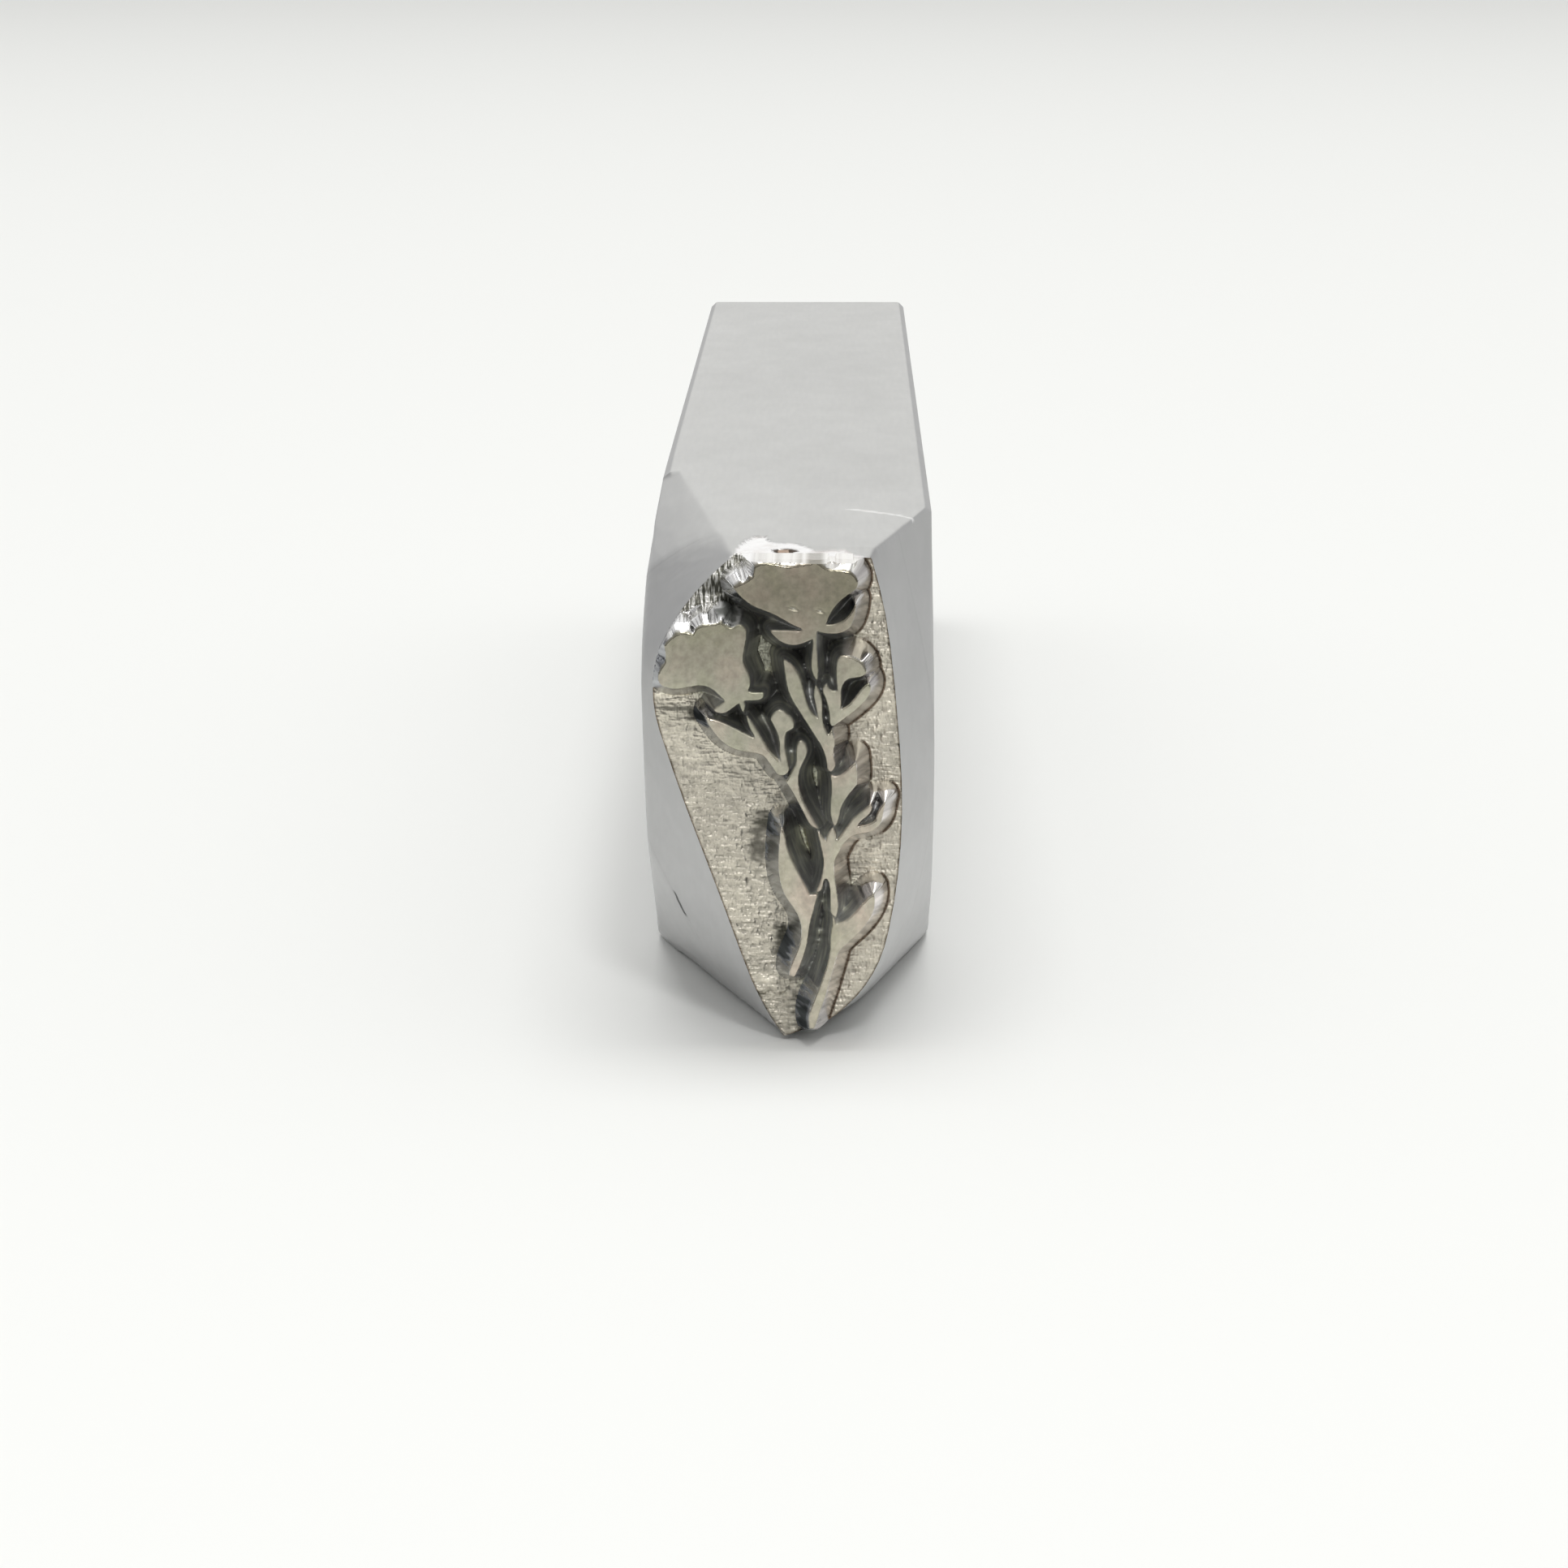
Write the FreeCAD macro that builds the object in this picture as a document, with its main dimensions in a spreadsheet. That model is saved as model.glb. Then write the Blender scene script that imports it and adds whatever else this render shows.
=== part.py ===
"""Design punch for stamping metal by hand: a flat plated steel bar with a milled sprig of flowers on it.

Millimetres. The punch lies on one of its narrow sides: X runs across the bar, +Y runs from the printing
plane back to the struck end, and +Z is up. The origin is under the middle of the punch, on the surface
that it lies on. The real punch is one piece of steel: the nodes are its regions, split where the finish
changes (plated or bare) and where one island of the printing sprig ends and the next begins.
"""
import FreeCAD, Part
import os

import Sketcher

Vector = FreeCAD.Vector
TOLERANCE = 0.01

# name in the sheet, value, what it is
DIMENSIONS = (
    ("bar_width", 6.0, "across the narrow sides of the bar"),
    ("bar_height", 10.0, "across the wide way of the bar"),
    ("punch_length", 65.0, "printing plane to struck end"),
    ("nose_length", 16.0, "printing plane to the plane behind the ground bevels"),
    ("bevel_turn", 5.0, "printing plane to where the ground bevels turn shallower"),
    ("relief_depth", 1.1, "printing plane to the milled floor"),
    ("bare_layer", 0.3, "bare steel under the milled floor, up to the plating"),
    ("end_chamfer", 0.6, "broken edge round the struck end"),
    ("corner_chamfer", 0.15, "broken long edges of the bar"),
)

# The outlines below are (x, z) in the punch's front view. An outline is a list of runs that meet at corners:
# a run of two points is a straight line, and a longer run is one smooth curve through its points.

# Border of the milled floor, then the same border where the bevels turn shallower, and at the back of the
# nose. Outside the bar the last two only steer the bevels: the bar's section trims them.
FLOOR_RUNS = (
    ((-1.10, 9.94), (1.66, 9.88)),
    ((1.66, 9.88), (1.95, 8.70), (2.17, 6.90), (2.29, 5.00), (2.19, 3.24), (2.02, 2.25)),
    ((2.02, 2.25), (1.54, 1.12), (0.80, 0.42)),
    ((0.80, 0.42), (-0.10, 0.08)),
    ((-0.10, 0.08), (-0.62, 0.95), (-1.13, 2.27), (-2.00, 4.60), (-2.61, 6.39)),
    ((-2.61, 6.39), (-2.74, 7.22), (-2.60, 8.10)),
    ((-2.60, 8.10), (-1.95, 9.10), (-1.10, 9.94)),
)
TURN_RUNS = (
    ((-1.50, 10.01), (2.19, 10.44)),
    ((2.19, 10.44), (2.51, 8.94), (2.93, 6.95), (3.08, 5.00), (2.87, 3.18), (2.62, 2.03)),
    ((2.62, 2.03), (2.03, 0.74), (1.45, -0.01)),
    ((1.45, -0.01), (-0.55, -0.62)),
    ((-0.55, -0.62), (-1.45, 0.50), (-2.30, 1.90), (-3.45, 4.40), (-4.00, 6.39)),
    ((-4.00, 6.39), (-4.15, 7.30), (-3.70, 8.50)),
    ((-3.70, 8.50), (-2.60, 9.45), (-1.50, 10.01)),
)
HEEL_RUNS = (
    ((-2.56, 10.02), (3.70, 12.00)),
    ((3.70, 12.00), (4.10, 9.60), (4.90, 7.20), (5.30, 5.00), (4.80, 3.00), (4.30, 1.40)),
    ((4.30, 1.40), (3.40, -0.35), (2.80, -1.20)),
    ((2.80, -1.20), (-1.80, -2.60)),
    ((-1.80, -2.60), (-3.60, -0.60), (-4.50, 1.20), (-5.60, 4.40), (-6.90, 6.40)),
    ((-6.90, 6.40), (-6.60, 7.80), (-4.60, 9.00)),
    ((-4.60, 9.00), (-3.20, 9.70), (-2.56, 10.02)),
)

# The sprig. Each node is a group of outlines that are padded together.
SPRIG = {
    "large_bloom": {
        "head": (
            ((-1.08, 9.42), (-0.91, 9.50), (-0.70, 9.63)),
            ((-0.70, 9.63), (-0.66, 9.83)),
            ((-0.66, 9.83), (-0.48, 9.90), (-0.30, 9.89), (0.00, 9.83), (0.35, 9.89), (0.61, 9.90)),
            ((0.61, 9.90), (0.72, 9.82), (1.08, 9.75), (1.27, 9.70), (1.36, 9.58), (1.33, 9.40)),
            ((1.33, 9.40), (1.13, 9.25), (0.90, 9.02), (0.76, 8.73)),
            ((0.76, 8.73), (0.55, 8.56), (0.29, 8.60)),
            ((0.29, 8.60), (0.14, 8.66), (-0.34, 8.92), (-0.69, 9.06), (-0.96, 9.27), (-1.08, 9.42)),
        ),
        "right_sepal": (
            ((0.56, 8.74), (0.83, 8.68), (1.09, 8.76), (1.24, 8.90), (1.34, 9.08)),
            ((1.34, 9.08), (1.29, 8.80), (1.18, 8.60), (0.90, 8.51), (0.56, 8.57)),
            ((0.56, 8.57), (0.56, 8.74)),
        ),
        "left_sepal": (
            ((-0.35, 8.56), (0.24, 8.55)),
            ((0.24, 8.55), (0.42, 8.68)),
            ((0.42, 8.68), (0.56, 8.66)),
            ((0.56, 8.66), (0.49, 8.40)),
            ((0.49, 8.40), (0.30, 8.32), (0.10, 8.28), (-0.16, 8.36), (-0.35, 8.56)),
        ),
        "stem": (
            ((0.47, 8.60), (0.47, 7.90), (0.49, 7.74), (0.57, 7.58)),
            ((0.57, 7.58), (0.58, 7.85), (0.55, 8.20), (0.57, 8.60)),
            ((0.57, 8.60), (0.47, 8.60)),
        ),
    },
    "small_bloom": {
        "head": (
            ((-2.46, 8.24), (-2.33, 8.40), (-2.16, 8.49), (-1.88, 8.47)),
            ((-1.88, 8.47), (-1.80, 8.61), (-1.64, 8.66), (-1.34, 8.73)),
            ((-1.34, 8.73), (-1.22, 8.64), (-1.11, 8.61), (-0.98, 8.67), (-0.87, 8.61), (-0.85, 8.49)),
            ((-0.85, 8.49), (-0.88, 8.24), (-0.91, 7.95), (-0.81, 7.70), (-0.82, 7.34)),
            ((-0.82, 7.34), (-0.76, 7.32), (-0.50, 7.32)),
            ((-0.50, 7.32), (-0.52, 7.22), (-0.62, 7.17)),
            ((-0.62, 7.17), (-0.88, 7.16)),
            ((-0.88, 7.16), (-1.13, 7.00), (-1.38, 6.91), (-1.47, 6.96), (-1.36, 7.06), (-1.26, 7.15)),
            ((-1.26, 7.15), (-1.40, 7.30), (-1.64, 7.45), (-1.84, 7.46), (-2.10, 7.41), (-2.40, 7.42)),
            ((-2.40, 7.42), (-2.57, 7.54), (-2.55, 7.76), (-2.46, 7.90), (-2.43, 8.05), (-2.46, 8.24)),
        ),
        "stem_stub": (
            ((-0.98, 7.16), (-0.95, 7.04), (-0.90, 6.93)),
            ((-0.90, 6.93), (-0.88, 7.02), (-0.90, 7.16)),
            ((-0.90, 7.16), (-0.98, 7.16)),
        ),
    },
    "left_leaf_and_bud": {
        "blade": (
            ((-1.63, 6.79), (-1.36, 6.72), (-0.97, 6.53), (-0.61, 6.37)),
            ((-0.61, 6.37), (-0.42, 6.18), (-0.14, 5.88)),
            ((-0.14, 5.88), (-0.01, 5.84), (-0.02, 5.70), (-0.12, 5.65), (-0.22, 5.69)),
            ((-0.22, 5.69), (-0.37, 5.91), (-0.50, 6.05), (-0.78, 6.12), (-1.13, 6.21), (-1.43, 6.46),
             (-1.63, 6.79)),
        ),
        "stem": (
            ((-0.82, 6.83), (-0.76, 6.75), (-0.55, 6.41), (-0.36, 6.10)),
            ((-0.36, 6.10), (-0.52, 6.20)),
            ((-0.52, 6.20), (-0.66, 6.42), (-0.79, 6.70), (-0.82, 6.83)),
        ),
        "bud": (
            ((-0.35, 6.78), (-0.28, 6.90), (-0.19, 6.96), (-0.03, 6.87), (0.09, 6.74), (0.09, 6.61),
             (-0.04, 6.52), (-0.08, 6.40), (-0.08, 6.20), (-0.02, 5.90), (-0.01, 5.74)),
            ((-0.01, 5.74), (-0.12, 5.72)),
            ((-0.12, 5.72), (-0.15, 6.06), (-0.18, 6.42), (-0.24, 6.58), (-0.35, 6.78)),
        ),
    },
    "long_leaf": {
        "blade": (
            ((-0.09, 7.97), (0.04, 7.89), (0.21, 7.64), (0.32, 7.26), (0.45, 6.93), (0.61, 6.78)),
            ((0.61, 6.78), (0.71, 6.62), (0.81, 6.43)),
            ((0.81, 6.43), (0.88, 6.30), (0.90, 6.02), (0.92, 5.82), (0.85, 5.73), (0.79, 5.79)),
            ((0.79, 5.79), (0.72, 6.13), (0.49, 6.54), (0.20, 6.99), (0.01, 7.36), (-0.04, 7.62),
             (-0.09, 7.97)),
        ),
        "stem": (
            ((0.55, 7.45), (0.61, 7.33), (0.66, 7.13), (0.67, 6.80), (0.72, 6.60)),
            ((0.72, 6.60), (0.60, 6.68)),
            ((0.60, 6.68), (0.60, 6.86), (0.53, 7.20), (0.55, 7.45)),
        ),
        "spur": (
            ((0.87, 6.56), (0.90, 6.46), (0.90, 6.20)),
            ((0.90, 6.20), (0.78, 6.30)),
            ((0.78, 6.30), (0.82, 6.46), (0.87, 6.56)),
        ),
    },
    "upper_bud": {
        "upper_petal": (
            ((1.00, 6.92), (0.99, 7.40), (0.97, 7.72), (0.98, 7.92)),
            ((0.98, 7.92), (1.05, 8.05), (1.27, 8.02), (1.45, 7.92), (1.55, 7.72)),
            ((1.55, 7.72), (1.46, 7.65), (1.20, 7.60), (1.08, 7.48), (1.04, 7.28), (1.02, 6.92)),
            ((1.02, 6.92), (1.00, 6.92)),
        ),
        "left_petal": (
            ((0.76, 7.48), (0.83, 7.38), (0.91, 7.34), (1.01, 7.36)),
            ((1.01, 7.36), (1.02, 6.80)),
            ((1.02, 6.80), (0.95, 6.68), (0.89, 6.65), (0.84, 6.72)),
            ((0.84, 6.72), (0.82, 6.97), (0.75, 7.22), (0.70, 7.38), (0.76, 7.48)),
        ),
        "right_petal": (
            ((0.96, 6.94), (1.11, 7.00), (1.24, 7.10), (1.42, 7.33), (1.60, 7.50)),
            ((1.60, 7.50), (1.63, 7.40), (1.58, 7.24), (1.42, 7.05), (1.17, 6.84), (0.95, 6.68)),
            ((0.95, 6.68), (0.96, 6.94)),
        ),
    },
    "inner_leaf": {
        "blade": (
            ((0.24, 6.35), (0.34, 6.25), (0.36, 6.10), (0.24, 5.82), (0.19, 5.53), (0.26, 5.20),
             (0.40, 4.90), (0.59, 4.57)),
            ((0.59, 4.57), (0.48, 4.62), (0.32, 4.89), (0.14, 5.24), (-0.03, 5.52)),
            ((-0.03, 5.52), (0.08, 5.71), (0.17, 5.92), (0.18, 6.20), (0.24, 6.35)),
        ),
    },
    "right_leaf": {
        "blade": (
            ((0.85, 5.65), (1.00, 5.63), (1.15, 5.72), (1.34, 5.90)),
            ((1.34, 5.90), (1.36, 5.72), (1.36, 5.45)),
            ((1.36, 5.45), (1.16, 5.20), (1.04, 4.97), (0.99, 4.74), (0.93, 4.62)),
            ((0.93, 4.62), (0.89, 4.72), (0.87, 5.20), (0.85, 5.65)),
        ),
    },
    "main_stem_and_buds": {
        "stem": (
            ((0.60, 4.49), (0.67, 4.39), (0.78, 4.27)),
            ((0.78, 4.27), (1.00, 4.33)),
            ((1.00, 4.33), (1.02, 4.12), (0.93, 3.94), (0.91, 3.60), (0.98, 3.14), (0.98, 2.88),
             (0.95, 2.77)),
            ((0.95, 2.77), (0.88, 2.83), (0.86, 2.95), (0.85, 3.34), (0.81, 3.50), (0.75, 3.56)),
            ((0.75, 3.56), (0.69, 3.46), (0.65, 3.32), (0.58, 3.28)),
            ((0.58, 3.28), (0.66, 3.50), (0.72, 3.90), (0.68, 4.16), (0.60, 4.49)),
        ),
        "centre_bud": (
            ((0.89, 4.58), (0.93, 4.50), (0.95, 4.32)),
            ((0.95, 4.32), (0.93, 4.18)),
            ((0.93, 4.18), (0.76, 4.22)),
            ((0.76, 4.22), (0.81, 4.46), (0.89, 4.58)),
        ),
        "upper_petal": (
            ((0.93, 4.28), (1.11, 4.50), (1.30, 4.76), (1.49, 4.92), (1.65, 5.06)),
            ((1.65, 5.06), (1.66, 4.95), (1.54, 4.80), (1.38, 4.62)),
            ((1.38, 4.62), (1.22, 4.44), (0.90, 4.14)),
            ((0.90, 4.14), (0.93, 4.28)),
        ),
        "lower_petal": (
            ((1.12, 4.52), (1.42, 4.61), (1.62, 4.66), (1.76, 4.74)),
            ((1.76, 4.74), (1.80, 4.90), (1.93, 5.08)),
            ((1.93, 5.08), (1.88, 4.84), (1.80, 4.62), (1.60, 4.50), (1.30, 4.43), (1.10, 4.26),
             (0.96, 4.00)),
            ((0.96, 4.00), (1.12, 4.52)),
        ),
    },
    "lower_left_leaf": {
        "blade": (
            ((-0.13, 4.57), (-0.09, 4.46), (-0.05, 4.25), (0.08, 3.90), (0.28, 3.50), (0.42, 3.20)),
            ((0.42, 3.20), (0.58, 3.22)),
            ((0.58, 3.22), (0.49, 2.91), (0.41, 2.56), (0.36, 2.20), (0.25, 1.83), (0.12, 1.54)),
            ((0.12, 1.54), (0.03, 1.57)),
            ((0.03, 1.57), (0.11, 1.89), (0.25, 2.24), (0.27, 2.60), (0.15, 2.90), (-0.06, 3.22),
             (-0.16, 3.55), (-0.17, 4.20), (-0.13, 4.57)),
        ),
    },
    "lower_right_leaf": {
        "blade": (
            ((0.90, 2.60), (1.08, 2.65), (1.32, 2.82), (1.55, 3.09), (1.71, 3.21)),
            ((1.71, 3.21), (1.72, 3.00), (1.57, 2.64), (1.29, 2.33), (1.06, 2.12), (0.92, 1.80)),
            ((0.92, 1.80), (0.86, 2.20), (0.90, 2.60)),
        ),
        "stem": (
            ((0.90, 2.74), (0.97, 2.58), (0.98, 2.10), (0.92, 1.80)),
            ((0.92, 1.80), (0.84, 1.52), (0.72, 1.10), (0.58, 0.70), (0.51, 0.48)),
            ((0.51, 0.48), (0.44, 0.48)),
            ((0.44, 0.48), (0.43, 0.70), (0.53, 1.06), (0.74, 1.60), (0.86, 2.10), (0.90, 2.74)),
        ),
    },
}


def make_sheet(doc):
    """The spreadsheet that holds the driving dimensions."""
    sheet = doc.addObject("Spreadsheet::Sheet", "Dimensions")
    for row, (alias, value, meaning) in enumerate(DIMENSIONS, start=1):
        sheet.set("A%d" % row, meaning)
        sheet.set("B%d" % row, str(value))
        sheet.setAlias("B%d" % row, alias)
    doc.recompute()
    return sheet


def behind_print(depth):
    """Expression for the Y of a plane that lies this far behind the printing plane."""
    return "%s - Dimensions.punch_length / 2" % depth


def origin_plane(body, role):
    return next(feature for feature in body.Origin.OriginFeatures if feature.Role == role)


def front_sketch(body, name, depth):
    """An empty sketch that faces the printing side, this far behind the printing plane."""
    sketch = body.newObject("Sketcher::SketchObject", name)
    sketch.AttachmentSupport = [(origin_plane(body, "XZ_Plane"), "")]
    sketch.MapMode = "FlatFace"
    sketch.setExpression("AttachmentOffset.Base.z", "Dimensions.punch_length / 2 - %s" % depth)
    return sketch


def outline_sketch(body, name, runs, depth):
    """A closed outline of straight lines and smooth curves."""
    sketch = front_sketch(body, name, depth)
    for run in runs:
        points = [Vector(x, z, 0) for x, z in run]
        if len(points) == 2:
            sketch.addGeometry(Part.LineSegment(points[0], points[1]), False)
        else:
            curve = Part.BSplineCurve()
            curve.interpolate(points)
            sketch.addGeometry(curve, False)
    return sketch


def rectangle_sketch(body, name, depth):
    """The bar's section: a rectangle centred on X that stands on the ground, sized by the sheet."""
    sketch = front_sketch(body, name, depth)
    start = {alias: value for alias, value, meaning in DIMENSIONS}
    half_width, height = start["bar_width"] / 2, start["bar_height"]
    corners = [Vector(-half_width, 0, 0), Vector(half_width, 0, 0),
               Vector(half_width, height, 0), Vector(-half_width, height, 0)]
    for corner, following in zip(corners, corners[1:] + corners[:1]):
        sketch.addGeometry(Part.LineSegment(corner, following), False)
    first, last = 1, 2
    bottom, right, top, left = range(4)
    for edge, following in ((bottom, right), (right, top), (top, left), (left, bottom)):
        sketch.addConstraint(Sketcher.Constraint("Coincident", edge, last, following, first))
    sketch.addConstraint(Sketcher.Constraint("Horizontal", bottom))
    sketch.addConstraint(Sketcher.Constraint("Horizontal", top))
    sketch.addConstraint(Sketcher.Constraint("Vertical", right))
    sketch.addConstraint(Sketcher.Constraint("Vertical", left))
    sketch_origin = (-1, 1)
    sketch.addConstraint(Sketcher.Constraint("Symmetric", bottom, first, bottom, last, *sketch_origin))
    across = Sketcher.Constraint("DistanceX", bottom, first, bottom, last, 2 * half_width)
    upright = Sketcher.Constraint("DistanceY", right, first, right, last, height)
    for name, constraint in (("across", across), ("upright", upright)):
        sketch.renameConstraint(sketch.addConstraint(constraint), name)
    sketch.setExpression("Constraints.across", "Dimensions.bar_width")
    sketch.setExpression("Constraints.upright", "Dimensions.bar_height")
    return sketch


def edges_where(shape, test):
    """Names of the shape's straight edges whose ends pass the test."""
    names = []
    for number, edge in enumerate(shape.Edges, start=1):
        if test(edge.Vertexes[0].Point, edge.Vertexes[-1].Point):
            names.append("Edge%d" % number)
    return names


def chamfer(body, name, base, edges, size):
    feature = body.newObject("PartDesign::Chamfer", name)
    feature.Base = (base, edges)
    feature.setExpression("Size", size)
    return feature


def make_blank(doc, sheet):
    """The whole bar before its nose is ground, from the milled floor back to the struck end."""
    body = doc.addObject("PartDesign::Body", "BarBlank")
    sketch = rectangle_sketch(body, "BarSection", "Dimensions.relief_depth")
    pad = body.newObject("PartDesign::Pad", "Bar")
    pad.Profile = sketch
    pad.Reversed = True
    pad.setExpression("Length", "Dimensions.punch_length - Dimensions.relief_depth")
    doc.recompute()
    struck_end = sheet.punch_length / 2
    end_edges = edges_where(pad.Shape, lambda a, b: min(a.y, b.y) > struck_end - TOLERANCE)
    broken_end = chamfer(body, "BrokenEnd", pad, end_edges, "Dimensions.end_chamfer")
    doc.recompute()
    corner_edges = edges_where(broken_end.Shape, lambda a, b: abs(a.y - b.y) > TOLERANCE)
    chamfer(body, "BrokenCorners", broken_end, corner_edges, "Dimensions.corner_chamfer")
    return body


def make_flare(doc):
    """The form that the bevels are ground to: from the border of the milled floor, spreading backwards."""
    body = doc.addObject("PartDesign::Body", "BevelForm")
    front = outline_sketch(body, "FloorBorder", FLOOR_RUNS, "Dimensions.relief_depth")
    turn = outline_sketch(body, "TurnBorder", TURN_RUNS, "Dimensions.bevel_turn")
    heel = outline_sketch(body, "HeelBorder", HEEL_RUNS, "Dimensions.nose_length")
    loft = body.newObject("PartDesign::AdditiveLoft", "Bevels")
    loft.Profile = front
    loft.Sections = [turn, heel]
    loft.Ruled = True
    return body


def make_zone(doc, name, near, far):
    """A block wider than the bar that keeps what lies between two depths behind the printing plane."""
    zone = doc.addObject("Part::Box", name)
    zone.setExpression("Length", "2 * Dimensions.bar_width")
    zone.setExpression("Height", "2 * Dimensions.bar_height")
    zone.setExpression("Width", "%s - %s" % (far, near))
    zone.setExpression("Placement.Base.x", "-Dimensions.bar_width")
    zone.setExpression("Placement.Base.y", behind_print(near))
    zone.setExpression("Placement.Base.z", "-Dimensions.bar_height / 2")
    return zone


def common(doc, name, base, tool, label=None):
    result = doc.addObject("Part::Common", name)
    result.Base = base
    result.Tool = tool
    if label:
        result.Label = label
    return result


def make_bar_nodes(doc, sheet):
    """The plated bar, its ground nose and the bare steel layer that the face is milled into."""
    blank = make_blank(doc, sheet)
    flare = make_flare(doc)
    floor, back = "Dimensions.relief_depth", "Dimensions.nose_length"
    plating_edge = "(Dimensions.relief_depth + Dimensions.bare_layer)"
    shank_zone = make_zone(doc, "ShankZone", back, "(Dimensions.punch_length + Dimensions.bar_width)")
    nose_zone = make_zone(doc, "NoseZone", plating_edge, back)
    face_zone = make_zone(doc, "FaceZone", floor, plating_edge)
    ground_bar = common(doc, "GroundBar", blank, flare)
    return [
        common(doc, "Shank", blank, shank_zone, "shank"),
        common(doc, "Nose", ground_bar, nose_zone, "nose"),
        common(doc, "MilledFloor", ground_bar, face_zone, "milled_floor"),
    ]


def make_island(doc, label, outlines):
    """One raised island of the sprig, from the printing plane back to the milled floor."""
    body = doc.addObject("PartDesign::Body", "Island_" + label)
    body.Label = label
    for name, runs in outlines.items():
        pad = body.newObject("PartDesign::Pad", label + "_" + name)
        pad.Profile = outline_sketch(body, label + "_" + name + "_outline", runs, "0")
        pad.Reversed = True
        pad.setExpression("Length", "Dimensions.relief_depth")
        doc.recompute()
    return body


def check(doc, nodes):
    """Stop if any object failed, or a node is not one or more valid solids."""
    for thing in doc.Objects:
        if "Invalid" in thing.State or "Error" in thing.State:
            raise RuntimeError("%s did not compute: %s" % (thing.Label, thing.State))
    for node in nodes:
        shape = node.Shape
        if shape.isNull() or not shape.isValid() or not shape.Solids:
            raise RuntimeError("%s has no valid solid" % node.Label)
        far_away = Vector(1000, 1000, 1000)
        if shape.isInside(far_away, TOLERANCE, True):
            raise RuntimeError("%s is inside out" % node.Label)


def main():
    doc = FreeCAD.newDocument("DesignPunch")
    sheet = make_sheet(doc)
    nodes = make_bar_nodes(doc, sheet)
    for label, outlines in SPRIG.items():
        nodes.append(make_island(doc, label, outlines))
    doc.recompute()
    check(doc, nodes)
    os.makedirs("parts", exist_ok=True)
    for node in nodes:
        box = node.Shape.BoundBox
        print("%-20s %d solid(s), %.3f mm3, x %.2f..%.2f y %.2f..%.2f z %.2f..%.2f" % (
            node.Label, len(node.Shape.Solids), node.Shape.Volume,
            box.XMin, box.XMax, box.YMin, box.YMax, box.ZMin, box.ZMax))
        node.Shape.exportStep("parts/%s.step" % node.Label)


main()
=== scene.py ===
"""Looks of the floral design punch: a plated steel bar whose bare, milled face carries a raised sprig.

Everything is in metres in the frame of the CAD model. The printing face is one height field, worked out
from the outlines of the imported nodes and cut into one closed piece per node. The bar is a skin over the
packed bar and nose.
"""

import math

import bmesh
import bpy
import numpy as np
from mathutils import Matrix, Vector
from mathutils.bvhtree import BVHTree


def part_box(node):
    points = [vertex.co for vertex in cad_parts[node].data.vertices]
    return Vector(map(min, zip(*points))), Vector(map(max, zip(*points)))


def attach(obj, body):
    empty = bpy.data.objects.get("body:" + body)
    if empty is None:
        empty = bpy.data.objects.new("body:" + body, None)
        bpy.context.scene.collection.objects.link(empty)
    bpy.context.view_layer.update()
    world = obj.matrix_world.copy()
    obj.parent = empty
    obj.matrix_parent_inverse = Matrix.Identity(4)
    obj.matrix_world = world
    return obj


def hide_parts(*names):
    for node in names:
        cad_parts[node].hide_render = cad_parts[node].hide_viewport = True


MM = 0.001

HAIR = 0.001          # a step too small to see, in millimetres

ISLANDS = ("large_bloom", "small_bloom", "left_leaf_and_bud", "long_leaf", "upper_bud", "inner_leaf",
           "right_leaf", "main_stem_and_buds", "lower_left_leaf", "lower_right_leaf")

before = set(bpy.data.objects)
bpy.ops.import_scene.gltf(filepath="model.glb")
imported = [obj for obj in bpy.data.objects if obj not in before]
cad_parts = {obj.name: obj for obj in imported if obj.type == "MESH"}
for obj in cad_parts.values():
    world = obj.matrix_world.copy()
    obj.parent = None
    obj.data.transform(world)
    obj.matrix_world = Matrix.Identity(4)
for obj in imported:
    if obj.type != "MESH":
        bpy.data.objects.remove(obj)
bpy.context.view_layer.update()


# ---------------------------------------------------------------------------------------------------------
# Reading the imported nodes

def node_mesh(name):
    """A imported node's vertices in millimetres and its triangles."""
    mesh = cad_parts[name].data
    mesh.calc_loop_triangles()
    points = np.array([v.co for v in mesh.vertices]) / MM
    triangles = np.array([t.vertices for t in mesh.loop_triangles])
    return points, triangles


def front_outline(name):
    """The border of a node's foremost flat face, as segments (x, z) in millimetres."""
    points, triangles = node_mesh(name)
    foremost = points[:, 1].min()
    is_front = np.all(points[triangles][:, :, 1] < foremost + 1e-3, axis=1)
    seen = {}
    for triangle in triangles[is_front]:
        corners = [tuple(np.round(points[i][[0, 2]], 4)) for i in triangle]
        for start, end in zip(corners, corners[1:] + corners[:1]):
            key = (min(start, end), max(start, end))
            seen[key] = seen.get(key, 0) + 1
    return np.array([edge for edge, count in seen.items() if count == 1])


def signed_distance(points, segments):
    """Distance from each point to the outline, negative inside it, and the nearest outline point."""
    nearest_square = np.full(len(points), np.inf)
    nearest = np.zeros_like(points)
    inside = np.zeros(len(points), bool)
    x, z = points[:, 0], points[:, 1]
    for (ax, az), (bx, bz) in segments:
        ux, uz = bx - ax, bz - az
        along = np.clip(((x - ax) * ux + (z - az) * uz) / max(ux * ux + uz * uz, 1e-12), 0.0, 1.0)
        qx, qz = ax + along * ux, az + along * uz
        square = (x - qx) ** 2 + (z - qz) ** 2
        closer = square < nearest_square
        nearest_square[closer] = square[closer]
        nearest[closer, 0] = qx[closer]
        nearest[closer, 1] = qz[closer]
        crosses = (az > z) != (bz > z)
        if abs(uz) > 1e-12:
            inside ^= crosses & (x < ax + (z - az) * ux / uz)
    distance = np.sqrt(nearest_square)
    return np.where(inside, -distance, distance), nearest


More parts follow.
